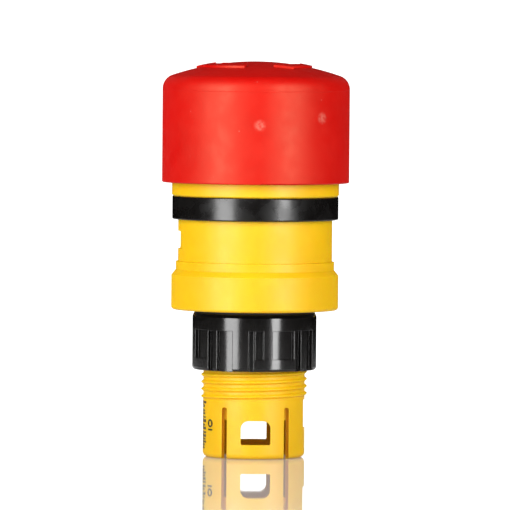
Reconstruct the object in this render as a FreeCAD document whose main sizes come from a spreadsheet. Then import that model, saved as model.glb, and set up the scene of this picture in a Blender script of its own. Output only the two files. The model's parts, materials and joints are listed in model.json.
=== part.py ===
import FreeCAD, Part
import math
import os
from types import SimpleNamespace

import Sketcher

# Emergency stop button for a 22 mm panel hole: a push-in, turn-to-release mushroom head on a
# yellow housing, held in the panel by a ring nut.
#
# Frame: millimetres. The origin is the centre of the panel hole on the flange's underside, which
# is the face that lies on the panel. +Z points out of the panel towards the operator, and -Y is
# the front. The tail, which takes the contact block, reaches down along -Z.

os.makedirs("parts", exist_ok=True)
doc = FreeCAD.newDocument("emergency_stop_button")

# ---------------------------------------------------------------------------------------------
# Driving dimensions. Heights are measured from the flange's underside.
# ---------------------------------------------------------------------------------------------

DRIVING_SIZES = {
    # clearances and small edges
    "running_gap": 0.05,
    "loose_gap": 0.1,
    "edge_break": 0.3,
    # thread M22 x 1.5
    "thread_radius": 11.0,
    "thread_root_radius": 10.55,
    "thread_pitch": 1.5,
    "thread_base_half": 0.5,
    "thread_crest_half": 0.1,
    "thread_end": -18.6,
    # housing
    "tail_radius": 10.6,
    "tail_end": -30.7,
    "tail_round": 1.1,
    "socket_radius": 8.8,
    "socket_depth": 10.0,
    "neck_bore_radius": 8.0,
    "spigot_radius": 11.1,
    "spigot_length": 1.7,
    "keyway_width": 2.0,
    "keyway_floor": 10.25,
    "gasket_inner_radius": 13.4,
    "gasket_outer_radius": 15.6,
    "gasket_thickness": 1.2,
    "flange_radius": 17.4,
    "flange_round": 0.6,
    "flange_top": 7.2,
    "step_radius": 16.5,
    "step_bottom": 8.3,
    "step_top": 10.0,
    "bezel_radius": 16.05,
    "bezel_top": 18.8,
    "neck_ring_radius": 15.0,
    "neck_ring_top": 26.0,
    "chamber_radius": 13.0,
    "chamber_floor": 2.0,
    "window_width": 6.2,
    "window_top": -22.7,
    "window_bottom": -27.7,
    "window_round": 1.65,
    "tongue_inner": 5.9,
    "tongue_outer": 6.95,
    "tongue_floor": 7.1,
    "tongue_top": -20.0,
    "slit_width": 0.45,
    "slit_top": -22.7,
    "side_flat": 10.15,
    "side_flat_bottom": -24.6,
    "notch_floor": 15.3,
    "notch_bottom": 12.6,
    "notch_top": 16.35,
    "notch_half_width": 4.5,
    # status band and guard collar
    "band_radius": 17.3,
    "band_top": 23.65,
    "collar_radius": 17.4,
    "collar_top": 38.0,
    "collar_bore_radius": 15.6,
    "web_bottom": 26.1,
    "web_top": 28.1,
    "web_hole_radius": 9.1,
    "seal_radius": 10.6,
    "seal_height": 2.25,
    # latch carrier
    "carrier_radius": 12.95,
    "carrier_bore_radius": 7.3,
    "carrier_deck": 19.0,
    "carrier_rim_radius": 11.5,
    "tube_radius": 7.95,
    "tube_bore_radius": 6.9,
    "tube_floor_bottom": -8.0,
    "tube_floor_top": -6.5,
    "key_width": 2.0,
    "key_reach": 8.2,
    # latch pins
    "pin_height": 14.0,
    "pin_tip": 4.92,
    "pin_nose_radius": 1.5,
    "pin_body_radius": 2.0,
    "pin_shoulder": 7.6,
    "pin_back": 11.0,
    "pin_pocket_radius": 1.4,
    "pin_pocket_floor": 8.6,
    # plunger
    "shank_radius": 4.0,
    "shank_end": -13.0,
    "spring_seat": 9.5,
    "spring_flange_radius": 6.8,
    "spring_flange_top": 10.8,
    "cam_radius": 5.0,
    "cam_small_radius": 4.04,
    "cam_start": 13.2,
    "cam_end": 19.2,
    "waist_top": 21.0,
    "shoulder": 31.0,
    "shaft_top": 44.5,
    "screw_hole_radius": 1.5,
    "screw_hole_top": -6.5,
    # retaining rings
    "ring_thickness": 0.8,
    "ring_groove_radius": 3.45,
    "ring_radius": 5.4,
    "lower_ring_bottom": -8.9,
    "upper_ring_bottom": 33.05,
    # contact ram and its screw
    "ram_radius": 7.6,
    "ram_bottom": -19.8,
    "ram_rim_top": -18.2,
    "ram_hub_radius": 5.2,
    "ram_hub_top": -10.0,
    "screw_seat": -16.5,
    "screw_radius": 1.45,
    "screw_head_radius": 2.75,
    "screw_head_height": 2.0,
    "screw_tip": -7.5,
    # mushroom cap
    "cap_radius": 19.5,
    "cap_bottom": 26.45,
    "cap_top": 51.67,
    "dome_radius": 54.0,
    "rim_round": 3.0,
    "skirt_bore_radius": 17.75,
    "ceiling": 47.4,
    "cap_hub_radius": 10.8,
    "cap_hub_bottom": 36.8,
    "rib_bottom": 43.5,
    "rib_width": 1.2,
    "arrow_inner_radius": 9.5,
    "arrow_outer_radius": 11.6,
    "arrow_head_half": 2.05,
    "arrow_height": 0.45,
    "arrow_tip_angle": 17.25,
    "arrow_neck_angle": 35.85,
    "arrow_tail_angle": 105.25,
    "gate_radius": 3.2,
    # release sleeve
    "sleeve_radius": 9.0,
    "sleeve_bottom": 24.6,
    "sleeve_skirt_bore": 6.3,
    "sleeve_head_bore": 7.0,
    "sleeve_web_top": 33.0,
    "sleeve_slot_floor": 8.3,
    "finger_radius": 7.1,
    "finger_bottom": 17.5,
    "finger_half_angle": 20.0,
    "clip_height": 40.0,
    "clip_wire_radius": 0.45,
    # springs
    "return_spring_radius": 5.4,
    "return_wire_radius": 0.45,
    "twist_spring_radius": 5.4,
    "twist_wire_radius": 0.4,
    "twist_spring_bottom": 34.2,
    "twist_spring_top": 41.0,
    "latch_spring_radius": 1.1,
    "latch_wire_radius": 0.18,
    "latch_spring_end": 12.9,
    # thrust washer and ring nut
    "washer_thickness": 0.6,
    "washer_bore_radius": 11.2,
    "washer_radius": 12.5,
    "nut_radius": 12.92,
    "nut_bottom": -12.45,
    "nut_chamfer": 0.75,
    "nut_chamfer_in": 0.35,
    "nut_band_bottom": -4.0,
    "nut_lip_top": -9.9,
    "nut_groove_radius": 12.15,
    "nut_counterbore_radius": 11.25,
    "nut_thread_top": -6.45,
    "nut_minor_radius": 10.7,
    "nut_round": 0.6,
    "nut_edge_round": 0.15,
}

sheet = doc.addObject("Spreadsheet::Sheet", "sizes")
for row, (alias, number) in enumerate(DRIVING_SIZES.items(), start=1):
    sheet.set(f"A{row}", alias)
    sheet.set(f"B{row}", str(number))
    sheet.setAlias(f"B{row}", alias)
doc.recompute()


class Size:
    """A number together with the spreadsheet formula that gives it."""

    def __init__(self, value, formula=None):
        self.value = float(value)
        self.formula = formula or repr(float(value))

    def __add__(self, other):
        other = as_size(other)
        return Size(self.value + other.value, f"({self.formula} + {other.formula})")

    def __sub__(self, other):
        other = as_size(other)
        return Size(self.value - other.value, f"({self.formula} - {other.formula})")

    def __mul__(self, other):
        other = as_size(other)
        return Size(self.value * other.value, f"({self.formula} * {other.formula})")

    def __truediv__(self, other):
        other = as_size(other)
        return Size(self.value / other.value, f"({self.formula} / {other.formula})")

    def __neg__(self):
        return Size(-self.value, f"(0 - {self.formula})")

    def __radd__(self, other):
        return as_size(other) + self

    def __rsub__(self, other):
        return as_size(other) - self

    def __rmul__(self, other):
        return as_size(other) * self


def as_size(number):
    return number if isinstance(number, Size) else Size(number)


def square_root(size):
    return Size(math.sqrt(size.value), f"sqrt({size.formula})")


def at_angle(radius, degrees):
    """The point at this radius and this angle in degrees, counter-clockwise from the x axis."""
    radius = as_size(radius)
    degrees = as_size(degrees)
    angle = math.radians(degrees.value)
    x = Size(radius.value * math.cos(angle), f"({radius.formula} * cos({degrees.formula} * 1 deg))")
    y = Size(radius.value * math.sin(angle), f"({radius.formula} * sin({degrees.formula} * 1 deg))")
    return x, y


s = SimpleNamespace(**{alias: Size(sheet.get(alias), f"sizes.{alias}") for alias in DRIVING_SIZES})

# ---------------------------------------------------------------------------------------------
# Drawing and feature helpers
# ---------------------------------------------------------------------------------------------

FULL_TURN = 360.0
FRONT = 270.0
ORIGIN_POINT = (-1, 1)
HORIZONTAL_AXIS = -1
VERTICAL_AXIS = -2
UP = FreeCAD.Vector(0, 0, 1)
TOUCH = 1e-4


def new_body(label):
    body = doc.addObject("PartDesign::Body", label)
    body.Label = label
    return body


def bind(item, path, size):
    item.setExpression(path, as_size(size).formula)


def origin_feature(body, role):
    return next(feature for feature in body.Origin.OriginFeatures if feature.Role == role)


def sketch_on(body, name, role, offset=0):
    """A sketch on one of the body's origin planes, moved along the plane's normal by offset."""
    sketch = body.newObject("Sketcher::SketchObject", name)
    sketch.AttachmentSupport = [(origin_feature(body, role), "")]
    sketch.MapMode = "FlatFace"
    bind(sketch, "AttachmentOffset.Base.z", offset)
    return sketch


def fix_point(sketch, curve, end, x, y):
    """Holds a curve's end at (x, y), bound to the sheet."""
    for kind, axis, size in (("DistanceX", VERTICAL_AXIS, x), ("DistanceY", HORIZONTAL_AXIS, y)):
        size = as_size(size)
        if size.value == 0:
            sketch.addConstraint(Sketcher.Constraint("PointOnObject", curve, end, axis))
        else:
            index = sketch.addConstraint(
                Sketcher.Constraint(kind, *ORIGIN_POINT, curve, end, size.value))
            bind(sketch, f"Constraints[{index}]", size)


def arc_between(start, end, radius):
    """The short arc from start to end. It turns left if the radius is positive, else right."""
    chord = end - start
    middle = (start + end) * 0.5
    reach = math.sqrt(max(radius * radius - chord.Length ** 2 / 4, 0))
    left = FreeCAD.Vector(-chord.y, chord.x, 0).normalize()
    centre = middle + left * math.copysign(reach, radius)
    first, last = (start, end) if radius > 0 else (end, start)
    circle = Part.Circle(centre, FreeCAD.Vector(0, 0, 1), abs(radius))
    angles = [math.atan2(point.y - centre.y, point.x - centre.x) for point in (first, last)]
    return Part.ArcOfCircle(circle, *angles)


def draw_outline(sketch, points):
    """A closed outline. Each point is (x, y), or (x, y, radius) where an arc leads to the next."""
    spots = [FreeCAD.Vector(as_size(point[0]).value, as_size(point[1]).value, 0) for point in points]
    ends = []
    for number, point in enumerate(points):
        start = spots[number]
        end = spots[(number + 1) % len(points)]
        if len(point) == 2:
            curve = sketch.addGeometry(Part.LineSegment(start, end))
            ends.append((curve, 1, 2))
        else:
            radius = as_size(point[2])
            curve = sketch.addGeometry(arc_between(start, end, radius.value))
            turns_left = radius.value > 0
            ends.append((curve, 1, 2) if turns_left else (curve, 2, 1))
    for number, point in enumerate(points):
        curve, first, last = ends[number]
        following, following_first, _ = ends[(number + 1) % len(points)]
        sketch.addConstraint(
            Sketcher.Constraint("Coincident", curve, last, following, following_first))
        fix_point(sketch, curve, first, point[0], point[1])
        if len(point) == 3:
            radius = as_size(point[2])
            index = sketch.addConstraint(Sketcher.Constraint("Radius", curve, abs(radius.value)))
            bind(sketch, f"Constraints[{index}]", radius if radius.value > 0 else -radius)


def draw_circle(sketch, x, y, radius):
    centre = FreeCAD.Vector(as_size(x).value, as_size(y).value, 0)
    normal = FreeCAD.Vector(0, 0, 1)
    curve = sketch.addGeometry(Part.Circle(centre, normal, as_size(radius).value))
    fix_point(sketch, curve, 3, x, y)
    index = sketch.addConstraint(Sketcher.Constraint("Radius", curve, as_size(radius).value))
    bind(sketch, f"Constraints[{index}]", radius)


def box_points(left, bottom, right, top):
    return [(left, bottom), (right, bottom), (right, top), (left, top)]


def sector_points(inner, outer, start_angle, end_angle):
    """A ring's sector between two radii and two angles in degrees."""
    return [
        (*at_angle(inner, start_angle),),
        (*at_angle(outer, start_angle), outer),
        (*at_angle(outer, end_angle),),
        (*at_angle(inner, end_angle), -as_size(inner)),
    ]


def revolve(body, name, points, kind="PartDesign::Revolution"):
    """Turns an outline, drawn in the XZ plane, round the Z axis: a solid, or a groove."""
    sketch = sketch_on(body, f"{name}_outline", "XZ_Plane")
    draw_outline(sketch, points)
    feature = body.newObject(kind, name)
    feature.Profile = sketch
    feature.ReferenceAxis = (sketch, ["V_Axis"])
    feature.Angle = FULL_TURN
    return feature


def extrude(kind, body, name, sketch, length, reverse=False, both_ways=False):
    """A pad or pocket of the given length, along the sketch's normal unless reverse is set."""
    feature = body.newObject(f"PartDesign::{kind}", name)
    feature.Profile = sketch
    feature.Type = "Length"
    bind(feature, "Length", length)
    cuts = kind == "Pocket"
    feature.Reversed = reverse != cuts
    feature.Midplane = both_ways
    return feature


def repeat_round(body, name, feature, count):
    """Repeats a feature evenly round the Z axis."""
    pattern = body.newObject("PartDesign::PolarPattern", name)
    pattern.Originals = [feature]
    pattern.Axis = (origin_feature(body, "Z_Axis"), [""])
    pattern.Angle = FULL_TURN
    pattern.Occurrences = count
    body.Tip = pattern
    return pattern


def helix(kind, body, name, points, pitch, height):
    """Sweeps an outline, drawn in the XZ plane, up a right-hand helix round the Z axis."""
    sketch = sketch_on(body, f"{name}_outline", "XZ_Plane")
    if len(points) == 1:
        draw_circle(sketch, *points[0])
    else:
        draw_outline(sketch, points)
    feature = body.newObject(f"PartDesign::{kind}", name)
    feature.Profile = sketch
    feature.ReferenceAxis = (sketch, ["V_Axis"])
    feature.Mode = "pitch-height-angle"
    bind(feature, "Pitch", pitch)
    bind(feature, "Height", height)
    feature.Refine = False
    return feature


def is_circle_at(edge, radius, height):
    curve = edge.Curve
    if not isinstance(curve, Part.Circle):
        return False
    same_radius = abs(curve.Radius - radius.value) < TOUCH
    return same_radius and abs(curve.Center.z - height.value) < TOUCH


def is_upright_at(edge, radius):
    """Whether an edge is a straight line along Z at this radius."""
    first, last = edge.Vertexes[0].Point, edge.Vertexes[-1].Point
    reach = math.hypot(first.x, first.y)
    straight = isinstance(edge.Curve, Part.Line) and (last - first).getAngle(UP) % math.pi < TOUCH
    return straight and abs(reach - radius.value) < TOUCH


def round_edges(body, name, rounding, wanted):
    """Rounds the edges of the body for which the function wanted is true."""
    doc.recompute()
    base = body.Tip
    names = [
        f"Edge{number}" for number, edge in enumerate(base.Shape.Edges, start=1)
        if not edge.Degenerated and wanted(edge)
    ]
    feature = body.newObject("PartDesign::Fillet", name)
    feature.Base = (base, names)
    bind(feature, "Radius", rounding)
    return feature


# ---------------------------------------------------------------------------------------------
# Housing, and what is fixed in it
# ---------------------------------------------------------------------------------------------

# The thread's ridge has its middle here where it crosses the -X side.
THREAD_START = s.thread_end + s.thread_base_half
THREAD_SINK = 0.05


def build_housing():
    body = new_body("housing")
    socket_top = s.tail_end + s.socket_depth
    spigot_bottom = -s.spigot_length
    revolve(body, "shell", [
        (s.socket_radius + s.edge_break, s.tail_end),
        (s.tail_radius - s.tail_round, s.tail_end, s.tail_round),
        (s.tail_radius, s.tail_end + s.tail_round),
        (s.tail_radius, s.thread_end),
        (s.thread_root_radius, s.thread_end),
        (s.thread_root_radius, spigot_bottom),
        (s.spigot_radius, spigot_bottom),
        (s.spigot_radius, 0),
        (s.gasket_inner_radius, 0),
        (s.gasket_inner_radius, s.gasket_thickness),
        (s.gasket_outer_radius, s.gasket_thickness),
        (s.gasket_outer_radius, 0),
        (s.flange_radius - s.flange_round, 0, s.flange_round),
        (s.flange_radius, s.flange_round),
        (s.flange_radius, s.flange_top),
        (s.step_radius, s.step_bottom),
        (s.step_radius, s.step_top),
        (s.bezel_radius, s.step_top + s.loose_gap),
        (s.bezel_radius, s.bezel_top),
        (s.neck_ring_radius, s.bezel_top),
        (s.neck_ring_radius, s.neck_ring_top),
        (s.chamber_radius, s.neck_ring_top),
        (s.chamber_radius, s.chamber_floor),
        (s.neck_bore_radius, s.chamber_floor),
        (s.neck_bore_radius, socket_top),
        (s.socket_radius, socket_top),
        (s.socket_radius, s.tail_end + s.edge_break),
    ])
    add_thread(body)
    cut_keyway(body)
    cut_windows(body)
    cut_tongues(body)
    cut_side_flat(body)
    cut_notch(body)
    return body


def add_thread(body):
    sunk_radius = s.thread_root_radius - THREAD_SINK
    helix("AdditiveHelix", body, "thread", [
        (-sunk_radius, THREAD_START - s.thread_base_half),
        (-sunk_radius, THREAD_START + s.thread_base_half),
        (-s.thread_radius, THREAD_START + s.thread_crest_half),
        (-s.thread_radius, THREAD_START - s.thread_crest_half),
    ], s.thread_pitch, -s.spigot_length - s.thread_base_half - THREAD_START)


def cut_keyway(body):
    """A groove down the back of the neck keeps the thrust washer from turning."""
    half = s.keyway_width / 2
    sketch = sketch_on(body, "keyway_outline", "XY_Plane", s.thread_end)
    draw_outline(sketch, box_points(-half, s.keyway_floor, half, s.thread_radius + 1))
    extrude("Pocket", body, "keyway", sketch, -s.thread_end)


def cut_windows(body):
    """The contact block's latch windows, in the front and back walls of the tail."""
    half = s.window_width / 2
    low_round = s.edge_break
    sketch = sketch_on(body, "windows_outline", "XZ_Plane")
    draw_outline(sketch, [
        (-half + low_round, s.window_bottom),
        (half - low_round, s.window_bottom, low_round),
        (half, s.window_bottom + low_round),
        (half, s.window_top - s.window_round, s.window_round),
        (half - s.window_round, s.window_top),
        (-half + s.window_round, s.window_top, s.window_round),
        (-half, s.window_top - s.window_round),
        (-half, s.window_bottom + low_round, low_round),
    ])
    extrude("Pocket", body, "windows", sketch, s.tail_radius * 2 + 1, both_ways=True)


def cut_tongues(body):
    """Slits free a spring tongue in the front and back walls, and a groove leads to each slit."""
    end = s.tail_end - 1
    middle = (s.tongue_inner + s.tongue_outer) / 2
    groove_round = (s.tongue_outer - s.tongue_inner) / 2
    for side, name in ((1, "right"), (-1, "left")):
        groove = sketch_on(body, f"groove_{name}_outline", "XZ_Plane", s.tongue_floor)
        draw_outline(groove, [
            (side * (middle - groove_round), end),
            (side * (middle + groove_round), end),
            (side * (middle + groove_round), s.tongue_top - groove_round, side * groove_round),
            (side * middle, s.tongue_top, side * groove_round),
            (side * (middle - groove_round), s.tongue_top - groove_round),
        ])
        cut = extrude("Pocket", body, f"groove_{name}", groove, s.tail_radius - s.tongue_floor)
        repeat_round(body, f"grooves_{name}", cut, 2)
        slit = sketch_on(body, f"slit_{name}_outline", "XZ_Plane")
        draw_outline(slit, box_points(
            side * s.tongue_inner, end, side * (s.tongue_inner + s.slit_width), s.slit_top))
        extrude("Pocket", body, f"slit_{name}", slit, s.tail_radius * 2 + 1, both_ways=True)


def cut_side_flat(body):
    """A flat on the +X side, above a lug that keeps the tail's full radius."""
    half = s.tail_radius / 2
    sketch = sketch_on(body, "side_flat_outline", "XY_Plane", s.side_flat_bottom)
    draw_outline(sketch, box_points(s.side_flat, -half, s.tail_radius + 1, half))
    extrude("Pocket", body, "side_flat", sketch, s.thread_end - s.side_flat_bottom)


def cut_notch(body):
    """A shallow flat-bottomed notch in the bezel's -X side."""
    corner = s.edge_break * 2
    half = s.notch_half_width
    sketch = sketch_on(body, "notch_outline", "YZ_Plane", -s.notch_floor)
    draw_outline(sketch, [
        (-half + corner, s.notch_bottom),
        (half - corner, s.notch_bottom, corner),
        (half, s.notch_bottom + corner),
        (half, s.notch_top - corner, corner),
        (half - corner, s.notch_top),
        (-half + corner, s.notch_top, corner),
        (-half, s.notch_top - corner),
        (-half, s.notch_bottom + corner, corner),
    ])
    extrude("Pocket", body, "notch", sketch, s.bezel_radius - s.notch_floor + 1, reverse=True)


def build_guard_collar():
    """The fixed yellow collar under the cap, with the seat for the shaft seal."""
    body = new_body("guard_collar")
    bore = s.neck_ring_radius + s.running_gap
    seat = s.seal_radius + s.running_gap
    seat_wall = seat + 1.35
    seat_top = s.web_top + s.seal_height + s.edge_break
    revolve(body, "collar", [
        (bore, s.band_top),
        (s.collar_radius - s.edge_break, s.band_top),
        (s.collar_radius, s.band_top + s.edge_break),
        (s.collar_radius, s.collar_top - s.edge_break),
        (s.collar_radius - s.edge_break, s.collar_top),
        (s.collar_bore_radius, s.collar_top),
        (s.collar_bore_radius, s.web_top),
        (seat_wall, s.web_top),
        (seat_wall, seat_top),
        (seat, seat_top),
        (seat, s.web_top),
        (s.web_hole_radius, s.web_top),
        (s.web_hole_radius, s.web_bottom),
        (bore, s.web_bottom),
    ])
    return body


def build_status_band():
    """The black band between the bezel and the guard collar."""
    body = new_body("status_band")
    bore = s.neck_ring_radius + s.running_gap
    edge = s.edge_break
    revolve(body, "band", [
        (bore, s.bezel_top),
        (s.band_radius - edge, s.bezel_top, edge),
        (s.band_radius, s.bezel_top + edge),
        (s.band_radius, s.band_top - edge, edge),
        (s.band_radius - edge, s.band_top),
        (bore, s.band_top),
    ])
    return body


def build_panel_gasket():
    body = new_body("panel_gasket")
    revolve(body, "gasket", box_points(
        s.gasket_inner_radius, 0, s.gasket_outer_radius, s.gasket_thickness))
    return body


def build_shaft_seal():
    """A lip seal that wipes the release sleeve."""
    body = new_body("shaft_seal")
    bottom = s.web_top + s.running_gap
    top = s.web_top + s.seal_height
    lip = s.sleeve_radius + s.running_gap / 2
    revolve(body, "seal", [
        (lip + s.edge_break, bottom),
        (s.seal_radius, bottom),
        (s.seal_radius, top),
        (s.seal_radius - s.edge_break * 2, top),
        (s.seal_radius - s.edge_break * 3, bottom + s.edge_break * 3),
        (lip, bottom + s.edge_break * 4),
        (lip, bottom + s.edge_break * 2),
    ])
    return body


def build_latch_carrier():
    """The insert that guides the plunger, seats the return spring and holds the latch pins."""
    body = new_body("latch_carrier")
    floor_hole = s.shank_radius + s.loose_gap
    bore_bottom = s.chamber_floor + 1
    revolve(body, "carrier", [
        (floor_hole, s.tube_floor_bottom),
        (s.tube_radius, s.tube_floor_bottom),
        (s.tube_radius, s.chamber_floor),
        (s.carrier_radius, s.chamber_floor),
        (s.carrier_radius, s.web_bottom),
        (s.carrier_rim_radius, s.web_bottom),
        (s.carrier_rim_radius, s.carrier_deck),
        (s.carrier_bore_radius, s.carrier_deck),
        (s.carrier_bore_radius, bore_bottom),
        (s.tube_bore_radius, bore_bottom),
        (s.tube_bore_radius, s.tube_floor_top),
        (floor_hole, s.tube_floor_top),
    ])
    bores = sketch_on(body, "pin_bores_outline", "YZ_Plane")
    draw_circle(bores, 0, s.pin_height, s.pin_body_radius + s.running_gap)
    extrude("Pocket", body, "pin_bores", bores, s.carrier_radius * 2 + 1, both_ways=True)
    half_width = s.key_width / 2 + s.loose_gap
    half_reach = s.key_reach + s.loose_gap
    keyways = sketch_on(body, "keyways_outline", "XY_Plane", bore_bottom)
    draw_outline(keyways, box_points(-half_width, -half_reach, half_width, half_reach))
    extrude("Pocket", body, "keyways", keyways, s.carrier_deck - bore_bottom)
    return body


# ---------------------------------------------------------------------------------------------
# Plunger and what it carries
# ---------------------------------------------------------------------------------------------


def build_plunger():
    """The push rod. Its cone drives the latch pins and its keys stop it from turning."""
    body = new_body("plunger")
    gap = s.running_gap
    lower_groove = s.lower_ring_bottom - gap
    upper_groove = s.upper_ring_bottom - gap
    groove_height = s.ring_thickness + gap * 2
    groove_floor = s.ring_groove_radius - gap
    revolve(body, "rod", [
        (0, s.screw_hole_top + s.screw_hole_radius),
        (s.screw_hole_radius, s.screw_hole_top),
        (s.screw_hole_radius, s.shank_end),
        (s.shank_radius - s.edge_break, s.shank_end),
        (s.shank_radius, s.shank_end + s.edge_break),
        (s.shank_radius, lower_groove),
        (groove_floor, lower_groove),
        (groove_floor, lower_groove + groove_height),
        (s.shank_radius, lower_groove + groove_height),
        (s.shank_radius, s.spring_seat),
        (s.spring_flange_radius, s.spring_seat),
        (s.spring_flange_radius, s.spring_flange_top),
        (s.cam_radius, s.spring_flange_top),
        (s.cam_radius, s.cam_start),
        (s.cam_small_radius, s.cam_end),
        (s.cam_small_radius, s.waist_top),
        (s.cam_radius, s.waist_top + s.edge_break),
        (s.cam_radius, s.shoulder),
        (s.shank_radius, s.shoulder),
        (s.shank_radius, upper_groove),
        (groove_floor, upper_groove),
        (groove_floor, upper_groove + groove_height),
        (s.shank_radius, upper_groove + groove_height),
        (s.shank_radius, s.shaft_top - s.edge_break),
        (s.shank_radius - s.edge_break, s.shaft_top),
        (0, s.shaft_top),
    ])
    half = s.key_width / 2
    keys = sketch_on(body, "keys_outline", "XY_Plane", s.spring_seat)
    draw_outline(keys, box_points(-half, -s.key_reach, half, s.key_reach))
    extrude("Pad", body, "keys", keys, s.cam_start - s.spring_seat - s.edge_break * 3)
    return body


def build_ring(label, bottom):
    """A retaining ring: a flat ring with an opening, which springs into a groove."""
    body = new_body(label)
    opening = 35.0
    sketch = sketch_on(body, "ring_outline", "XY_Plane", bottom)
    quarter_points = [opening, 180.0, FULL_TURN - opening]
    outer = [(*at_angle(s.ring_radius, angle), s.ring_radius) for angle in quarter_points]
    inner = [
        (*at_angle(s.ring_groove_radius, angle), -s.ring_groove_radius)
        for angle in reversed(quarter_points)
    ]
    draw_outline(sketch, outer[:-1] + [outer[-1][:2]] + inner[:-1] + [inner[-1][:2]])
    extrude("Pad", body, "ring", sketch, s.ring_thickness)
    return body


def build_spring(label, radius, wire_radius, bottom, top, turns):
    """A wire coil between two heights, clear of both by nothing but the wire's own radius."""
    body = new_body(label)
    height = top - bottom - wire_radius * 2
    helix("AdditiveHelix", body, "coil", [(radius, bottom + wire_radius, wire_radius)],
          height / turns, height)
    return body


def build_contact_ram():
    """The foot that pushes the contact block's actuators."""
    body = new_body("contact_ram")
    head_hole = s.screw_head_radius + s.loose_gap
    screw_hole = s.screw_hole_radius + s.loose_gap
    socket = s.shank_radius + s.running_gap
    revolve(body, "foot", [
        (head_hole, s.ram_bottom),
        (s.ram_radius, s.ram_bottom),
        (s.ram_radius, s.ram_rim_top),
        (s.ram_hub_radius, s.ram_rim_top + s.edge_break * 2),
        (s.ram_hub_radius, s.ram_hub_top),
        (socket, s.ram_hub_top),
        (socket, s.shank_end),
        (screw_hole, s.shank_end),
        (screw_hole, s.screw_seat),
        (head_hole, s.screw_seat),
    ])
    scallop = sketch_on(body, "scallop_outline", "XY_Plane", s.ram_bottom)
    draw_circle(scallop, s.ram_radius + 1.2, 0, s.ram_hub_radius / 2)
    cut = extrude("Pocket", body, "scallop", scallop, s.ram_hub_top - s.ram_bottom)
    repeat_round(body, "scallops", cut, 4)
    return body


def build_ram_screw():
    """A pan-head screw with a cross recess, driven up into the plunger."""
    body = new_body("ram_screw")
    head_bottom = s.screw_seat - s.screw_head_height
    revolve(body, "screw", [
        (0, head_bottom),
        (s.screw_head_radius - s.edge_break * 2, head_bottom, s.edge_break * 2),
        (s.screw_head_radius, head_bottom + s.edge_break * 2),
        (s.screw_head_radius, s.screw_seat),
        (s.screw_radius, s.screw_seat),
        (s.screw_radius, s.screw_tip),
        (s.screw_radius - s.edge_break, s.screw_tip + s.edge_break),
        (0, s.screw_tip + s.edge_break),
    ])
    reach = s.screw_head_radius * 0.6
    half = reach / 4
    sketch = sketch_on(body, "recess_outline", "XY_Plane", head_bottom)
    draw_outline(sketch, [
        (half, half), (reach, half), (reach, -half), (half, -half),
        (half, -reach), (-half, -reach), (-half, -half), (-reach, -half),
        (-reach, half), (-half, half), (-half, reach), (half, reach),
    ])
    extrude("Pocket", body, "recess", sketch, s.screw_head_height * 0.6)
    return body


# ---------------------------------------------------------------------------------------------
# The turning head
# ---------------------------------------------------------------------------------------------


def dome_height(radius, raised=0):
    """The height of the dome, or of a surface that stands a little above it, at this radius."""
    ball = s.dome_radius + raised
    return s.cap_top - s.dome_radius + square_root(ball * ball - radius * radius)


# Where the mould's gates leave dimples in the cap's side: the azimuth in degrees from the front
# towards +X, the height, and the depth.
GATE_DIMPLES = {
    "front_gate": (0.0, 38.7, 0.12),
    "side_gate": (42.0, 40.2, 0.05),
}


def build_mushroom_cap():
    body = new_body("mushroom_cap")
    edge = s.edge_break
    hub_bore = s.sleeve_radius + s.running_gap
    corner = s.skirt_bore_radius - 2
    revolve(body, "cap", [
        (s.skirt_bore_radius, s.cap_bottom),
        (s.cap_radius - edge, s.cap_bottom, edge),
        (s.cap_radius, s.cap_bottom + edge),
        (s.cap_radius, dome_height(s.cap_radius), s.dome_radius),
        (0, s.cap_top),
        (0, s.ceiling),
        (hub_bore, s.ceiling),
        (hub_bore, s.cap_hub_bottom),
        (s.cap_hub_radius, s.cap_hub_bottom),
        (s.cap_hub_radius, s.ceiling),
        (corner, s.ceiling),
        (s.skirt_bore_radius, s.ceiling - 2),
    ])
    round_edges(body, "rim", s.rim_round, lambda edge: is_circle_at(
        edge, s.cap_radius, dome_height(s.cap_radius)))
    add_arrows(body)
    for name, (azimuth, height, depth) in GATE_DIMPLES.items():
        press_gate_dimple(body, name, azimuth, height, depth)
    add_ribs(body)
    add_cap_keys(body)
    revolve_clip_groove(body, "clip_groove")
    return body


def add_arrows(body):
    """Three raised arrows that run clockwise round the dome, trimmed level with a raised dome."""
    middle = (s.arrow_inner_radius + s.arrow_outer_radius) / 2
    tip = FRONT + s.arrow_tip_angle
    neck = FRONT + s.arrow_neck_angle
    tail = FRONT + s.arrow_tail_angle
    sketch = sketch_on(body, "arrow_outline", "XY_Plane", s.ceiling + 1)
    draw_outline(sketch, [
        (*at_angle(s.arrow_inner_radius, neck), s.arrow_inner_radius),
        (*at_angle(s.arrow_inner_radius, tail),),
        (*at_angle(s.arrow_outer_radius, tail), -s.arrow_outer_radius),
        (*at_angle(s.arrow_outer_radius, neck),),
        (*at_angle(middle + s.arrow_head_half, neck),),
        (*at_angle(middle, tip),),
        (*at_angle(middle - s.arrow_head_half, neck),),
    ])
    arrow = extrude("Pad", body, "arrow", sketch, s.cap_top - s.ceiling)
    repeat_round(body, "arrows", arrow, 3)
    reach = middle + s.arrow_head_half + 1
    above = s.cap_top + s.dome_radius / 10
    revolve(body, "arrow_tops", [
        (reach, dome_height(reach, s.arrow_height), s.dome_radius + s.arrow_height),
        (0, s.cap_top + s.arrow_height),
        (0, above),
        (reach, above),
    ], "PartDesign::Groove")


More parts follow.
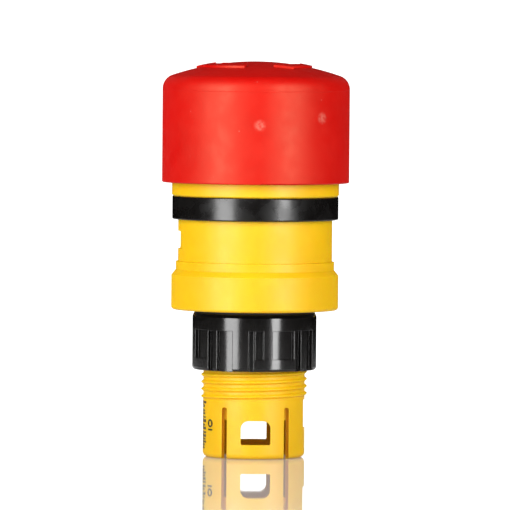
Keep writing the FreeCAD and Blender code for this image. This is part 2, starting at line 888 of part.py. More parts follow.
def press_gate_dimple(body, name, azimuth, height, depth):
    """A shallow round dimple in the cap's side."""
    angle = math.radians(azimuth)
    feature = body.newObject("PartDesign::SubtractiveSphere", name)
    bind(feature, "Radius", s.gate_radius)
    feature.AttachmentSupport = [(origin_feature(body, "XY_Plane"), "")]
    feature.MapMode = "FlatFace"
    reach = s.cap_radius + s.gate_radius - depth
    bind(feature, "AttachmentOffset.Base.x", reach * math.sin(angle))
    bind(feature, "AttachmentOffset.Base.y", -reach * math.cos(angle))
    bind(feature, "AttachmentOffset.Base.z", height)


def add_ribs(body):
    """Ribs under the dome, from the hub to the skirt."""
    half = s.rib_width / 2
    sink = s.loose_gap
    sketch = sketch_on(body, "rib_outline", "XY_Plane", s.rib_bottom)
    draw_outline(sketch, box_points(
        s.cap_hub_radius - sink, -half, s.skirt_bore_radius + sink, half))
    rib = extrude("Pad", body, "rib", sketch, s.ceiling - s.rib_bottom + sink)
    repeat_round(body, "ribs", rib, 6)


def add_cap_keys(body):
    """Two keys in the hub turn the release sleeve."""
    half = s.key_width / 2
    sketch = sketch_on(body, "hub_key_outline", "XY_Plane", s.clip_height + 1)
    draw_outline(sketch, box_points(
        s.sleeve_slot_floor + s.loose_gap, -half, s.sleeve_radius + s.loose_gap * 2, half))
    key = extrude("Pad", body, "hub_key", sketch, s.ceiling - s.clip_height - 1 + s.loose_gap)
    repeat_round(body, "hub_keys", key, 2)


def revolve_clip_groove(body, name):
    """The round groove, half in the hub and half in the sleeve, that the clip's wire fills."""
    sketch = sketch_on(body, f"{name}_outline", "XZ_Plane")
    draw_circle(sketch, s.sleeve_radius, s.clip_height, s.clip_wire_radius + s.running_gap)
    feature = body.newObject("PartDesign::Groove", name)
    feature.Profile = sketch
    feature.ReferenceAxis = (sketch, ["V_Axis"])
    feature.Angle = FULL_TURN
    return feature


def build_release_sleeve():
    """The sleeve that turns with the cap. Its two fingers reach down to the latch pins."""
    body = new_body("release_sleeve")
    web_hole = s.shank_radius + s.running_gap
    revolve(body, "sleeve", [
        (s.sleeve_skirt_bore, s.sleeve_bottom),
        (s.sleeve_radius, s.sleeve_bottom),
        (s.sleeve_radius, s.ceiling),
        (s.sleeve_head_bore, s.ceiling),
        (s.sleeve_head_bore, s.sleeve_web_top),
        (web_hole, s.sleeve_web_top),
        (web_hole, s.shoulder),
        (s.sleeve_skirt_bore, s.shoulder),
    ])
    finger_outline = sketch_on(body, "finger_outline", "XY_Plane", s.finger_bottom)
    draw_outline(finger_outline, sector_points(
        s.sleeve_skirt_bore, s.finger_radius,
        FRONT - s.finger_half_angle, FRONT + s.finger_half_angle))
    finger = extrude("Pad", body, "finger", finger_outline,
                     s.sleeve_bottom - s.finger_bottom + s.edge_break)
    repeat_round(body, "fingers", finger, 2)
    half = s.key_width / 2 + s.running_gap
    slot_outline = sketch_on(body, "slot_outline", "XY_Plane", s.clip_height + 1 - s.loose_gap)
    draw_outline(slot_outline, box_points(s.sleeve_slot_floor, -half, s.sleeve_radius + 1, half))
    slot = extrude("Pocket", body, "slot", slot_outline, s.ceiling - s.clip_height)
    repeat_round(body, "slots", slot, 2)
    revolve_clip_groove(body, "clip_groove")
    return body


def build_cap_clip():
    """An open wire ring that locks the cap onto the sleeve."""
    body = new_body("cap_clip")
    sketch = sketch_on(body, "wire_outline", "XZ_Plane")
    draw_circle(sketch, s.sleeve_radius, s.clip_height, s.clip_wire_radius)
    feature = body.newObject("PartDesign::Revolution", "wire")
    feature.Profile = sketch
    feature.ReferenceAxis = (sketch, ["V_Axis"])
    feature.Angle = 330
    return body


# ---------------------------------------------------------------------------------------------
# Latch pins and their springs. Each is built along its own Z axis, which is then laid radially.
# ---------------------------------------------------------------------------------------------


def lay_radially(body, direction):
    """Turns the body's own Z axis to the +X (1) or -X (-1) side, at the height of the pins."""
    turn = FreeCAD.Rotation(FreeCAD.Vector(0, 1, 0), 90 * direction)
    body.Placement = FreeCAD.Placement(FreeCAD.Vector(0, 0, s.pin_height.value), turn)
    bind(body, "Placement.Base.z", s.pin_height)


def build_latch_pin(label, direction):
    body = new_body(label)
    revolve(body, "pin", [
        (0, s.pin_tip, s.pin_nose_radius),
        (s.pin_nose_radius, s.pin_tip + s.pin_nose_radius),
        (s.pin_nose_radius, s.pin_shoulder),
        (s.pin_body_radius, s.pin_shoulder),
        (s.pin_body_radius, s.pin_back),
        (s.pin_pocket_radius, s.pin_back),
        (s.pin_pocket_radius, s.pin_pocket_floor),
        (0, s.pin_pocket_floor),
    ])
    lay_radially(body, direction)
    return body


def build_latch_spring(label, direction):
    body = build_spring(label, s.latch_spring_radius, s.latch_wire_radius,
                        s.pin_pocket_floor, s.latch_spring_end, 6)
    lay_radially(body, direction)
    return body


# ---------------------------------------------------------------------------------------------
# Panel fixing
# ---------------------------------------------------------------------------------------------


def build_thrust_washer():
    """The washer that keeps the turning nut off the panel, with a tab in the neck's keyway."""
    body = new_body("thrust_washer")
    ring = sketch_on(body, "ring_outline", "XY_Plane")
    draw_circle(ring, 0, 0, s.washer_radius)
    draw_circle(ring, 0, 0, s.washer_bore_radius)
    extrude("Pad", body, "ring", ring, s.washer_thickness, reverse=True)
    half = s.keyway_width / 2 - s.loose_gap
    tab = sketch_on(body, "tab_outline", "XY_Plane")
    draw_outline(tab, box_points(
        -half, s.keyway_floor + s.loose_gap * 2, half, s.washer_bore_radius + s.loose_gap))
    extrude("Pad", body, "tab", tab, s.washer_thickness, reverse=True)
    return body


# The nut's outside is the same in each quarter turn. Angles are in degrees, from the front
# towards +X: grooves that run out at the bottom, and grooves closed below by a lip.
NUT_QUARTERS = 4
OPEN_GROOVES = ((-50.3, -43.8), (-39.2, -23.3), (-7.5, -3.2))
CLOSED_GROOVES = ((-1.0, 6.2), (15.0, 37.4))


def build_ring_nut():
    body = new_body("ring_nut")
    top = -s.washer_thickness
    revolve(body, "ring", [
        (s.nut_minor_radius, s.nut_bottom),
        (s.nut_radius - s.nut_round, s.nut_bottom, s.nut_round),
        (s.nut_radius, s.nut_bottom + s.nut_round),
        (s.nut_radius, top - s.nut_chamfer),
        (s.nut_radius - s.nut_chamfer_in, top),
        (s.nut_counterbore_radius, top),
        (s.nut_counterbore_radius, s.nut_thread_top),
        (s.nut_minor_radius, s.nut_thread_top),
    ])
    cut_nut_grooves(body, "open", OPEN_GROOVES, s.nut_bottom)
    cut_nut_grooves(body, "closed", CLOSED_GROOVES, s.nut_lip_top)
    round_edges(body, "groove_edges", s.nut_edge_round, lambda edge: is_upright_at(
        edge, s.nut_radius))
    cut_nut_thread(body)
    return body


def cut_nut_grooves(body, name, grooves, bottom):
    outside = s.nut_radius + 1
    for number, (start, end) in enumerate(grooves, start=1):
        sketch = sketch_on(body, f"{name}_{number}_outline", "XY_Plane", bottom)
        draw_outline(sketch, sector_points(
            s.nut_groove_radius, outside, FRONT + start, FRONT + end))
        cut = extrude("Pocket", body, f"{name}_{number}", sketch, s.nut_band_bottom - bottom)
        repeat_round(body, f"{name}_{number}_all", cut, NUT_QUARTERS)


def cut_nut_thread(body):
    """The internal thread, in step with the housing's thread and clear of it by a small gap."""
    below = 3
    start = THREAD_START + s.thread_pitch * below
    gap = s.loose_gap
    inner = s.nut_minor_radius - gap / 2
    outer = s.thread_radius + gap
    slope = (s.thread_base_half - s.thread_crest_half) / (s.thread_radius - s.thread_root_radius)
    half_outer = s.thread_crest_half + gap / 2
    half_inner = half_outer + (outer - inner) * slope
    helix("SubtractiveHelix", body, "nut_thread", [
        (-inner, start - half_inner),
        (-inner, start + half_inner),
        (-outer, start + half_outer),
        (-outer, start - half_outer),
    ], s.thread_pitch, s.nut_thread_top + half_inner - start)


# ---------------------------------------------------------------------------------------------
# Build, check and write every sub-part
# ---------------------------------------------------------------------------------------------

parts = [
    build_housing(),
    build_guard_collar(),
    build_status_band(),
    build_panel_gasket(),
    build_shaft_seal(),
    build_latch_carrier(),
    build_plunger(),
    build_spring("return_spring", s.return_spring_radius, s.return_wire_radius,
                 s.tube_floor_top, s.spring_seat, 6),
    build_ring("retaining_ring", s.lower_ring_bottom),
    build_ring("sleeve_ring", s.upper_ring_bottom),
    build_contact_ram(),
    build_ram_screw(),
    build_mushroom_cap(),
    build_release_sleeve(),
    build_cap_clip(),
    build_spring("twist_spring", s.twist_spring_radius, s.twist_wire_radius,
                 s.twist_spring_bottom, s.twist_spring_top, 5),
    build_latch_pin("latch_pin_left", -1),
    build_latch_pin("latch_pin_right", 1),
    build_latch_spring("latch_spring_left", -1),
    build_latch_spring("latch_spring_right", 1),
    build_thrust_washer(),
    build_ring_nut(),
]

doc.recompute()

failed = [item.Label for item in doc.Objects if {"Invalid", "Error"} & set(item.State)]
if failed:
    raise RuntimeError(f"these objects failed: {failed}")

for part in parts:
    shape = part.Shape
    if shape.isNull() or not shape.isValid() or len(shape.Solids) != 1:
        raise RuntimeError(f"{part.Label} is not one valid solid")
    shape.exportStep(f"parts/{part.Label}.step")
    print(f"{part.Label}: {shape.Volume:.1f} mm3")
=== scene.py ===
import json
import math
import random

import bmesh
import bpy
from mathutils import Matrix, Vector


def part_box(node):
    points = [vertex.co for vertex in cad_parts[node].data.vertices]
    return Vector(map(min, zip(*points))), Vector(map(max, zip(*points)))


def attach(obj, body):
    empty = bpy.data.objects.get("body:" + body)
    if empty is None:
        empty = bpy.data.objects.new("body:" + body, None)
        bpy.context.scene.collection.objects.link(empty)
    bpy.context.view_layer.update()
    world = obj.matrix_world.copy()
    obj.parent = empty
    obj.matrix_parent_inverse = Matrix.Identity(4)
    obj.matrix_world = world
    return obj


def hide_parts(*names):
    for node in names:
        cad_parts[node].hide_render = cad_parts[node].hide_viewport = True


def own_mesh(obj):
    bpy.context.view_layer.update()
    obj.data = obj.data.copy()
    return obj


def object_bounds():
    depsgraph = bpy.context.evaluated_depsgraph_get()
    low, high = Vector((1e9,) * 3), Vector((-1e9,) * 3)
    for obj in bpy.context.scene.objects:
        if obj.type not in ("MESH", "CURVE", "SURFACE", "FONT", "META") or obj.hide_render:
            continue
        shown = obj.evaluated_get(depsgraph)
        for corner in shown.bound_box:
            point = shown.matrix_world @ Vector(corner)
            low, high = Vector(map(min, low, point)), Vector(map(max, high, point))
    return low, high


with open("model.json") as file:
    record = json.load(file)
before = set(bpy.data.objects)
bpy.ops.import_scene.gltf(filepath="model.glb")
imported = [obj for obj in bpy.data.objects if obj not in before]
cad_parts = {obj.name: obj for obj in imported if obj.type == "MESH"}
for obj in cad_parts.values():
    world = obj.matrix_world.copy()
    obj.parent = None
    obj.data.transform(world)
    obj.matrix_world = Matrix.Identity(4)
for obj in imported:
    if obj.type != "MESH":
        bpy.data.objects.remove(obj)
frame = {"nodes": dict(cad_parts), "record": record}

# The model's own box, in metres. The button's axis is the Z axis, the panel lies at z = 0, and
# -Y is the front.
CAD_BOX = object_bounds()
LOWEST, HIGHEST = CAD_BOX
HEIGHT = HIGHEST.z - LOWEST.z
MM = 0.001

# Nearly all of a noise texture's values lie between these two.
NOISE_LOW = 0.3
NOISE_HIGH = 0.7
BEVEL_SAMPLES = 6


def widest(node):
    """How far a node reaches from the button's axis, along X."""
    low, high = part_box(node)
    return max(-low[0], high[0])


def polar(distance, azimuth, height):
    """The point at this distance from the button's axis. Azimuth 0 is the front, + is right."""
    angle = math.radians(azimuth)
    return Vector((distance * math.sin(angle), -distance * math.cos(angle), height))


# ---------------------------------------------------------------------------------------------
# Node material helpers
# ---------------------------------------------------------------------------------------------


class Shader:
    """A material's node tree, with short calls for the nodes that the materials here use."""

    def __init__(self, name):
        self.material = bpy.data.materials.new(name)
        self.material.use_nodes = True
        self.tree = self.material.node_tree
        self.tree.nodes.clear()
        self.place = self.add("ShaderNodeTexCoord").outputs["Object"]

    def add(self, kind, **settings):
        node = self.tree.nodes.new(kind)
        for key, value in settings.items():
            setattr(node, key, value)
        return node

    def feed(self, socket, value):
        """Links an output to a socket, or sets the socket to a plain value."""
        if isinstance(value, bpy.types.NodeSocket):
            self.tree.links.new(value, socket)
        else:
            socket.default_value = value

    def math(self, operation, first, second=0.0):
        node = self.add("ShaderNodeMath", operation=operation)
        self.feed(node.inputs[0], first)
        self.feed(node.inputs[1], second)
        return node.outputs[0]

    def scaled_place(self, size, stretch):
        """The place in units of this many millimetres, stretched along each axis."""
        node = self.add("ShaderNodeMapping")
        self.feed(node.inputs["Vector"], self.place)
        self.feed(node.inputs["Scale"], tuple(part / (size * MM) for part in stretch))
        return node.outputs["Vector"]

    def noise(self, size, detail=2.0, stretch=(1, 1, 1)):
        """Noise from 0 to 1 whose features are about this many millimetres across."""
        node = self.add("ShaderNodeTexNoise")
        self.feed(node.inputs["Vector"], self.scaled_place(size, stretch))
        self.feed(node.inputs["Scale"], 1.0)
        self.feed(node.inputs["Detail"], detail)
        return node.outputs["Fac"]

    def drift(self, size, detail=2.0, out_low=0.0, out_high=1.0):
        """The same noise, spread out so that it fills the span between the last two numbers."""
        return self.ramp(self.noise(size, detail), NOISE_LOW, NOISE_HIGH, out_low, out_high)

    def specks(self, spacing, size):
        """1 inside scattered round specks and 0 elsewhere. Both sizes are in millimetres."""
        node = self.add("ShaderNodeTexVoronoi")
        self.feed(node.inputs["Vector"], self.scaled_place(spacing, (1, 1, 1)))
        self.feed(node.inputs["Scale"], 1.0)
        return self.ramp(node.outputs["Distance"], 0.0, size / spacing, 1.0, 0.0)

    def near(self, point, radius):
        """1 around a point, fading to 0 at this many millimetres away."""
        node = self.add("ShaderNodeVectorMath", operation="DISTANCE")
        self.feed(node.inputs[0], self.place)
        self.feed(node.inputs[1], tuple(point))
        full = radius * 0.35
        return self.ramp(node.outputs["Value"], full * MM, radius * MM, 1.0, 0.0)

    def ring_line(self, height, width):
        """1 on a thin level line round the object at this height. Both are in millimetres."""
        parts = self.add("ShaderNodeSeparateXYZ")
        self.feed(parts.inputs[0], self.place)
        offset = self.math("SUBTRACT", parts.outputs["Z"], height * MM)
        return self.ramp(self.math("ABSOLUTE", offset), 0.0, width / 2 * MM, 1.0, 0.0)

    def ramp(self, value, low, high, out_low=0.0, out_high=1.0):
        node = self.add("ShaderNodeMapRange", interpolation_type="SMOOTHSTEP")
        self.feed(node.inputs["Value"], value)
        for key, number in zip(("From Min", "From Max", "To Min", "To Max"),
                               (low, high, out_low, out_high)):
            self.feed(node.inputs[key], number)
        return node.outputs["Result"]

    def blend(self, factor, first, second):
        node = self.add("ShaderNodeMix", data_type="RGBA")
        self.feed(node.inputs["Factor"], factor)
        self.feed(node.inputs["A"], first)
        self.feed(node.inputs["B"], second)
        return node.outputs["Result"]

    def rounded_edges(self, radius):
        """Normals that turn smoothly over a small edge radius, in millimetres."""
        node = self.add("ShaderNodeBevel", samples=BEVEL_SAMPLES)
        self.feed(node.inputs["Radius"], radius * MM)
        return node.outputs["Normal"]

    def bump(self, height, depth, normal=None):
        """A bump whose full height is depth millimetres."""
        node = self.add("ShaderNodeBump")
        self.feed(node.inputs["Height"], height)
        self.feed(node.inputs["Distance"], depth * MM)
        if normal is not None:
            self.feed(node.inputs["Normal"], normal)
        return node.outputs["Normal"]

    def finish(self, **inputs):
        surface = self.add("ShaderNodeBsdfPrincipled")
        for key, value in inputs.items():
            self.feed(surface.inputs[key.replace("_", " ")], value)
        output = self.add("ShaderNodeOutputMaterial")
        self.tree.links.new(surface.outputs["BSDF"], output.inputs["Surface"])
        return self.material


def times(colour, factor):
    """The colour made this many times as bright."""
    return tuple(part * factor for part in colour[:3]) + (1.0,)


# ---------------------------------------------------------------------------------------------
# Materials
# ---------------------------------------------------------------------------------------------


# Marks on moulded plastic. Sizes are in millimetres, and strengths are shares of the new colour.
FLECK_SPACING = 2.6
FLECK_SIZE = 0.22
DUST_COLOUR = (1.0, 0.75, 0.65, 1.0)
# Round each gate mark the colour is paled towards a warm white: a painted highlight.
GATE_RADIUS = 1.5
GATE_FAINTEST = 0.04
GATE_PALEST = 0.12
GATE_HIGHLIGHT_COLOUR = (1.0, 0.8, 0.6, 1.0)
SEAM_WIDTH = 0.35
SEAM_HEIGHT = 0.03


def moulded_plastic(name, colour, roughness, grain=0.35, grain_depth=0.004, drift=0.94,
                    scatter=0.0, scatter_radius=(1, 1, 1), edge=0.12, flecks=0.0, seam=None,
                    sheen_change=0.1, ior=1.5, tint=(1, 1, 1, 1), gates=()):
    """Injection-moulded plastic: fine grain, slow colour drift and a slightly uneven sheen.

    flecks is how much paler its scattered specks of dust are, seam is the height in millimetres
    of the mould's parting line, and gates are the marks of the mould's gates, round which the
    colour is paled as a painted highlight."""
    shader = Shader(name)
    body = shader.blend(shader.drift(9.0, 3.0), colour, times(colour, drift))
    if flecks:
        patches = shader.ramp(shader.noise(4.0), 0.45, 0.6, 0.0, flecks)
        speck = shader.math("MULTIPLY", shader.specks(FLECK_SPACING, FLECK_SIZE), patches)
        body = shader.blend(speck, body, DUST_COLOUR)
    # Painted highlight: the colour paled round each gate mark.
    for gate in gates:
        mottle = shader.ramp(shader.noise(0.6), NOISE_LOW, 0.6, GATE_FAINTEST, GATE_PALEST)
        gate_highlight = shader.math("MULTIPLY", shader.near(gate, GATE_RADIUS), mottle)
        body = shader.blend(gate_highlight, body, GATE_HIGHLIGHT_COLOUR)
    sheen = shader.drift(3.5, 4.0, roughness * (1 - sheen_change), roughness * (1 + sheen_change))
    normal = shader.bump(shader.noise(grain, 3.0), grain_depth, shader.rounded_edges(edge))
    if seam is not None:
        normal = shader.bump(shader.ring_line(seam, SEAM_WIDTH), SEAM_HEIGHT, normal)
    return shader.finish(
        Base_Color=body,
        Roughness=sheen,
        IOR=ior,
        Specular_Tint=tint,
        Normal=normal,
        Subsurface_Weight=scatter,
        Subsurface_Radius=scatter_radius,
        Subsurface_Scale=MM,
    )


def metal(name, colour, roughness):
    """Drawn or turned steel with faint lines round it."""
    shader = Shader(name)
    lines = shader.noise(0.25, 2.0, (1, 1, 6))
    return shader.finish(
        Base_Color=shader.blend(shader.noise(2.0), colour, times(colour, 0.8)),
        Metallic=1.0,
        Roughness=shader.ramp(lines, NOISE_LOW, NOISE_HIGH, roughness * 0.8, roughness * 1.3),
        Normal=shader.bump(lines, 0.003, shader.rounded_edges(0.08)),
    )


def rubber(name, colour):
    """Matt rubber with a little dust on it."""
    shader = Shader(name)
    dust = shader.ramp(shader.noise(1.2, 4.0), 0.45, 0.75)
    return shader.finish(
        Base_Color=shader.blend(dust, colour, times(colour, 1.8)),
        Roughness=0.7,
        Normal=shader.bump(shader.noise(0.3, 3.0), 0.01, shader.rounded_edges(0.15)),
    )


def ink(name):
    """Pad-printed black ink, a little thin in places."""
    shader = Shader(name)
    thin = shader.ramp(shader.noise(0.35, 3.0), 0.5, 0.75)
    return shader.finish(
        Base_Color=shader.blend(thin, (0.010, 0.008, 0.005, 1), (0.09, 0.05, 0.008, 1)),
        Roughness=0.5,
    )


# Where the cap's mould parted, and where its two gates were: (azimuth, height in millimetres).
PARTING_HEIGHT = 45.7
GATE_PLACES = ((0.0, 38.7), (42.0, 40.2))
# Round these points the red plastic carries a painted highlight.
GATES = [polar(widest("mushroom_cap"), azimuth, height * MM) for azimuth, height in GATE_PLACES]

MATERIALS = {
    "yellow_plastic": moulded_plastic(
        "yellow_plastic", (0.82, 0.475, 0.001, 1), 0.48,
        scatter=0.5, scatter_radius=(2.0, 1.1, 0.1)),
    "red_plastic": moulded_plastic(
        "red_plastic", (0.57, 0.001, 0.001, 1), 0.49, grain=0.3, grain_depth=0.006,
        scatter=0.15, scatter_radius=(1.0, 0.1, 0.1), flecks=0.12, seam=PARTING_HEIGHT,
        tint=(1.0, 0.88, 0.52, 1), gates=GATES),
    "black_plastic": moulded_plastic(
        "black_plastic", (0.0035, 0.003, 0.0027, 1), 0.16, grain=0.5, grain_depth=0.002, ior=1.6),
    "acetal": moulded_plastic(
        "acetal", (0.75, 0.74, 0.68, 1), 0.4, scatter=0.2),
    "dark_acetal": moulded_plastic("dark_acetal", (0.02, 0.02, 0.022, 1), 0.35),
    "rubber": rubber("rubber", (0.012, 0.012, 0.012, 1)),
    "spring_steel": metal("spring_steel", (0.55, 0.55, 0.56, 1), 0.28),
}

# The status band's gloss is slightly smeared from handling.
BAND_PLASTIC = moulded_plastic(
    "band_plastic", (0.0035, 0.003, 0.0027, 1), 0.27, grain=0.9, grain_depth=0.002,
    sheen_change=0.2, ior=1.55)

# The thrust washer is a matt moulding.
WASHER_PLASTIC = moulded_plastic(
    "washer_plastic", (0.006, 0.005, 0.0045, 1), 0.6, grain=0.25, grain_depth=0.006)

SPECIAL = {"status_band": BAND_PLASTIC, "thrust_washer": WASHER_PLASTIC}
slot_of = {row["node"]: row["material_slot"] for row in frame["record"]["subparts"]}
for node_name, piece in frame["nodes"].items():
    finish = SPECIAL.get(node_name) or MATERIALS[slot_of[node_name]]
    for place in piece.material_slots:
        place.material = finish


# ---------------------------------------------------------------------------------------------
# Mesh helpers
# ---------------------------------------------------------------------------------------------


def new_piece(name, mesh_builder, material, body):
    """Makes an object from a bmesh, gives it its material, and lets it ride on a body."""
    mesh = bpy.data.meshes.new(name)
    mesh_builder.normal_update()
    mesh_builder.to_mesh(mesh)
    mesh_builder.free()
    piece = bpy.data.objects.new(name, mesh)
    bpy.context.scene.collection.objects.link(piece)
    mesh.materials.append(material)
    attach(piece, body)
    return piece


# ---------------------------------------------------------------------------------------------
# Return spring: it stands on the housing's inner floor and rides on the housing
# ---------------------------------------------------------------------------------------------

SPRING_TURNS = 6
WIRE_RADIUS = 0.45 * MM
END_CLOSING = 0.5
TURN_STEPS = 36
WIRE_SIDES = 10


def wind_spring():
    """A coil of round wire, whose turns lie closer by END_CLOSING of the mean pitch at both ends."""
    low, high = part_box("return_spring")
    radius = high[0] - WIRE_RADIUS
    bottom = low[2] + WIRE_RADIUS
    length = high[2] - WIRE_RADIUS - bottom
    builder = bmesh.new()
    rings = []
    count = SPRING_TURNS * TURN_STEPS
    for step in range(count + 1):
        share = step / count
        rise = share - math.sin(math.tau * share) / math.tau * END_CLOSING
        turn = math.tau * SPRING_TURNS * share
        outward = Vector((math.cos(turn), math.sin(turn), 0))
        centre = outward * radius + Vector((0, 0, bottom + length * rise))
        ring = []
        for side in range(WIRE_SIDES):
            angle = math.tau * side / WIRE_SIDES
            offset = outward * math.cos(angle) + Vector((0, 0, math.sin(angle)))
            ring.append(builder.verts.new(centre + offset * WIRE_RADIUS))
        rings.append(ring)
    for first, second in zip(rings, rings[1:]):
        for side in range(WIRE_SIDES):
            after = (side + 1) % WIRE_SIDES
            builder.faces.new((first[side], first[after], second[after], second[side]))
    builder.faces.new(reversed(rings[0]))
    builder.faces.new(rings[-1])
    bmesh.ops.recalc_face_normals(builder, faces=builder.faces)
    for face in builder.faces:
        face.smooth = len(face.verts) == 4
    coil = new_piece(
        "return_spring_coil", builder, MATERIALS["spring_steel"], "housing")
    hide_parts("return_spring")
    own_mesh(coil)


wind_spring()


# ---------------------------------------------------------------------------------------------
# Printed marks on the tail: plain bars and a ring, wrapped round its left side
# ---------------------------------------------------------------------------------------------

TAIL_RADIUS = 10.6 * MM
INK_THICKNESS = 0.02 * MM
STRIP_ANGLE = 0.6

# The two columns of bars: heights above the tail's end, and azimuths in degrees.
PRINT_START = 1.8 * MM
PRINT_END = 11.4 * MM
BAR_HEIGHTS = (0.35, 0.8)
BAR_GAPS = (0.08, 0.12, 0.3)
FIRST_COLUMN = (-85.5, -80.0)
SECOND_COLUMN_START = -79.0
SECOND_COLUMN_ENDS = (-76.5, -71.0)
SECOND_COLUMN_SHARE = 0.75

# The ring, and the bar below it.
RING_AZIMUTH = -61.0
RING_HEIGHT = 7.2 * MM
RING_OUTER = 0.85 * MM
RING_INNER = 0.5 * MM
RING_STRIPS = 12
STRIP_OVERLAP = 1.1
UNDERLINE_HALF_ANGLE = 4.5
UNDERLINE_LOW = -1.5 * MM
UNDERLINE_HIGH = -1.15 * MM


def add_strip(builder, columns):
    """A thin closed shell on the tail. Each column is (azimuth, low height, high height)."""
    rings = []
    for azimuth, low, high in columns:
        inner = TAIL_RADIUS - INK_THICKNESS
        outer = TAIL_RADIUS + INK_THICKNESS
        corners = ((inner, low), (outer, low), (outer, high), (inner, high))
        rings.append([
            builder.verts.new(polar(radius, azimuth, height)) for radius, height in corners])
    for first, second in zip(rings, rings[1:]):
        for corner in range(4):
            after = (corner + 1) % 4
            builder.faces.new((first[corner], second[corner], second[after], first[after]))
    builder.faces.new(rings[0])
    builder.faces.new(reversed(rings[-1]))


def add_bar(builder, start, end, low, high):
    """A rectangular mark between two azimuths in degrees and two heights in metres."""
    steps = max(2, round((end - start) / STRIP_ANGLE))
    add_strip(builder, [
        (start + (end - start) * step / steps, low, high) for step in range(steps + 1)])


def add_ring_mark(builder, azimuth, height):
    """A flat ring, drawn as short upright strips, with a bar below it."""
    turn = math.degrees(1 / TAIL_RADIUS)
    reach = RING_OUTER * math.sin(math.pi / RING_STRIPS / 2) * STRIP_OVERLAP * turn
    for step in range(RING_STRIPS):
        angle = math.pi * (step + 0.5) / RING_STRIPS
        across = RING_OUTER * math.cos(angle)
        half = RING_OUTER * math.sin(angle)
        gap = math.sqrt(max(RING_INNER ** 2 - across ** 2, 0.0))
        middle = azimuth + across * turn
        parts = ((-half, -gap), (gap, half)) if gap else ((-half, half),)
        for low, high in parts:
            add_bar(builder, middle - reach, middle + reach, height + low, height + high)
    add_bar(builder, azimuth - UNDERLINE_HALF_ANGLE, azimuth + UNDERLINE_HALF_ANGLE,
            height + UNDERLINE_LOW, height + UNDERLINE_HIGH)


def print_marks():
    """Two columns of small bars of uneven length, and beside them a ring with a bar below it."""
    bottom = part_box("housing")[0][2]
    builder = bmesh.new()
    chance = random.Random(4)
    height = bottom + PRINT_START
    while height < bottom + PRINT_END:
        step = chance.uniform(*BAR_HEIGHTS) * MM
        add_bar(builder, *FIRST_COLUMN, height, height + step)
        end = chance.uniform(*SECOND_COLUMN_ENDS)
        add_bar(builder, SECOND_COLUMN_START, end, height, height + step * SECOND_COLUMN_SHARE)
        height += step + chance.choice(BAR_GAPS) * MM
    add_ring_mark(builder, RING_AZIMUTH, bottom + RING_HEIGHT)
    bmesh.ops.recalc_face_normals(builder, faces=builder.faces)
    new_piece("tail_print", builder, ink("print_ink"), "housing")


print_marks()


# ---------------------------------------------------------------------------------------------
# Camera, light and floor
# ---------------------------------------------------------------------------------------------


def aim(item, target, roll=0.0):
    """Points a camera or light at a target. roll is in degrees."""
    direction = (target - item.location).normalized()
    item.rotation_euler = direction.to_track_quat("-Z", "Y").to_euler()
    item.rotation_euler.rotate_axis("Z", math.radians(roll))


CAMERA_AZIMUTH = -2.4
CAMERA_DISTANCE = 1.5
CAMERA_RISE = 0.22 * HEIGHT
CAMERA_ROLL = 0.45
LENS = 508.7
TARGET_HEIGHT = LOWEST.z + 0.5103 * HEIGHT
camera_data = bpy.data.cameras.new("camera")
camera_data.sensor_width = 36
camera_data.lens = LENS
camera_data.clip_start = 0.05
camera_data.clip_end = 20
camera = bpy.data.objects.new("camera", camera_data)
bpy.context.scene.collection.objects.link(camera)
camera.location = polar(CAMERA_DISTANCE, CAMERA_AZIMUTH, HIGHEST.z + CAMERA_RISE)
aim(camera, Vector((0, 0, TARGET_HEIGHT)), CAMERA_ROLL)
bpy.context.scene.camera = camera

# All the lights stand at one distance and reach between the same two heights. Each row is the
# light's name, its azimuth from the camera's, its width, its power and whether it shows as a
# reflection.
LIGHT_DISTANCE = 0.9
LIGHT_LOW = -0.16
LIGHT_HIGH = 0.75
LIGHTS = (
    ("key_left", -43, 0.42, 11.0, True),
    ("fill_right", 40, 0.25, 8.0, True),
    ("side_left", -75, 0.5, 2.4, False),
    ("side_right", 48, 0.5, 2.4, False),
    ("rear_left", -150, 0.6, 4.0, False),
    ("rear_right", 150, 0.6, 4.0, False),
)


def softbox(name, azimuth, width, power, gloss):
    """A tall soft light that faces the button's axis. Without gloss it shows in no reflection."""
    data = bpy.data.lights.new(name, "AREA")
    data.shape = "RECTANGLE"
    data.size = width
    data.size_y = LIGHT_HIGH - LIGHT_LOW
    data.energy = power
    lamp = bpy.data.objects.new(name, data)
    bpy.context.scene.collection.objects.link(lamp)
    middle = (LIGHT_LOW + LIGHT_HIGH) / 2
    lamp.location = polar(LIGHT_DISTANCE, CAMERA_AZIMUTH + azimuth, middle)
    aim(lamp, Vector((0, 0, middle)))
    lamp.visible_camera = False
    lamp.visible_glossy = gloss


for light in LIGHTS:
    softbox(*light)


def studio_world():
    """Plain white behind everything, with a dim room around it."""
    world = bpy.data.worlds.new("studio")
    bpy.context.scene.world = world
    world.use_nodes = True
    tree = world.node_tree
    tree.nodes.clear()
    path = tree.nodes.new("ShaderNodeLightPath")
    strength = tree.nodes.new("ShaderNodeMath")
    strength.operation = "MAXIMUM"
    strength.inputs[1].default_value = AMBIENT
    tree.links.new(path.outputs["Is Camera Ray"], strength.inputs[0])
    background = tree.nodes.new("ShaderNodeBackground")
    background.inputs["Color"].default_value = (1, 1, 1, 1)
    tree.links.new(strength.outputs[0], background.inputs["Strength"])
    out = tree.nodes.new("ShaderNodeOutputWorld")
    tree.links.new(background.outputs[0], out.inputs["Surface"])


AMBIENT = 0.03

# The floor is solid out to the first radius and gone at the second.
FLOOR_SOLID = 0.11
FLOOR_EDGE = 0.45
FLOOR_GREY = 0.5
FLOOR_GLOW = 0.10

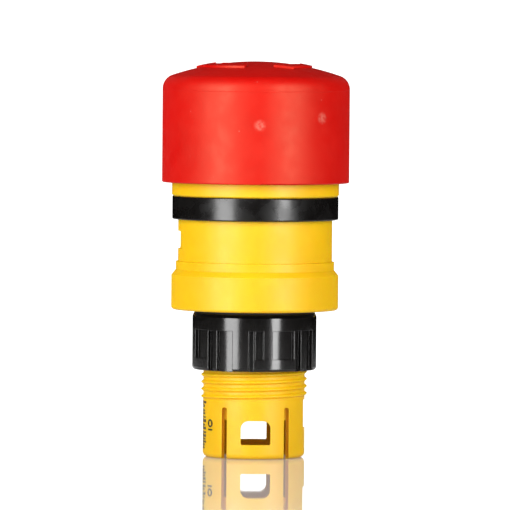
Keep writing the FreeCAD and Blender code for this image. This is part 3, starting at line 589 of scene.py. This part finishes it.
WALL_RADIUS = 3.0
WALL_REACH = 0.55
WALL_GLOW = 1.45
ROUND_SIDES = 96


def lay_floor():
    """A polished white sheet under the button, which fades into the white around it."""
    bpy.ops.mesh.primitive_circle_add(
        vertices=ROUND_SIDES, radius=FLOOR_EDGE, fill_type="NGON", location=(0, 0, LOWEST.z))
    floor = bpy.context.object
    floor.name = "floor"
    shader = Shader("floor")
    from_middle = shader.add("ShaderNodeVectorMath", operation="LENGTH")
    shader.feed(from_middle.inputs[0], shader.place)
    solid = shader.ramp(from_middle.outputs["Value"], FLOOR_SOLID, FLOOR_EDGE, 1.0, 0.0)
    floor.data.materials.append(shader.finish(
        Base_Color=(FLOOR_GREY, FLOOR_GREY, FLOOR_GREY, 1),
        Roughness=shader.drift(30.0, out_low=0.015, out_high=0.03),
        IOR=1.5,
        Emission_Color=(1, 1, 1, 1),
        Emission_Strength=FLOOR_GLOW,
        Alpha=solid,
    ))
    return floor


def stand_wall(floor):
    """A low white wall all round, which only the floor reflects."""
    builder = bmesh.new()
    bmesh.ops.create_circle(builder, segments=ROUND_SIDES, radius=WALL_RADIUS)
    rim = bmesh.ops.extrude_edge_only(builder, edges=list(builder.edges))
    for vert in builder.verts:
        vert.co.z = -WALL_REACH
    for part in rim["geom"]:
        if isinstance(part, bmesh.types.BMVert):
            part.co.z = WALL_REACH
    mesh = bpy.data.meshes.new("studio_wall")
    builder.to_mesh(mesh)
    builder.free()
    wall = bpy.data.objects.new("studio_wall", mesh)
    bpy.context.scene.collection.objects.link(wall)
    shader = Shader("studio_wall")
    light = shader.add("ShaderNodeEmission")
    light.inputs["Strength"].default_value = WALL_GLOW
    output = shader.add("ShaderNodeOutputMaterial")
    shader.tree.links.new(light.outputs[0], output.inputs["Surface"])
    shader.material.cycles.emission_sampling = "NONE"
    mesh.materials.append(shader.material)
    lit_pieces = bpy.data.collections.new("stage_pieces")
    lit_pieces.objects.link(floor)
    wall.light_linking.receiver_collection = lit_pieces


studio_world()
stand_wall(lay_floor())

scene = bpy.context.scene
scene.view_settings.view_transform = "Standard"
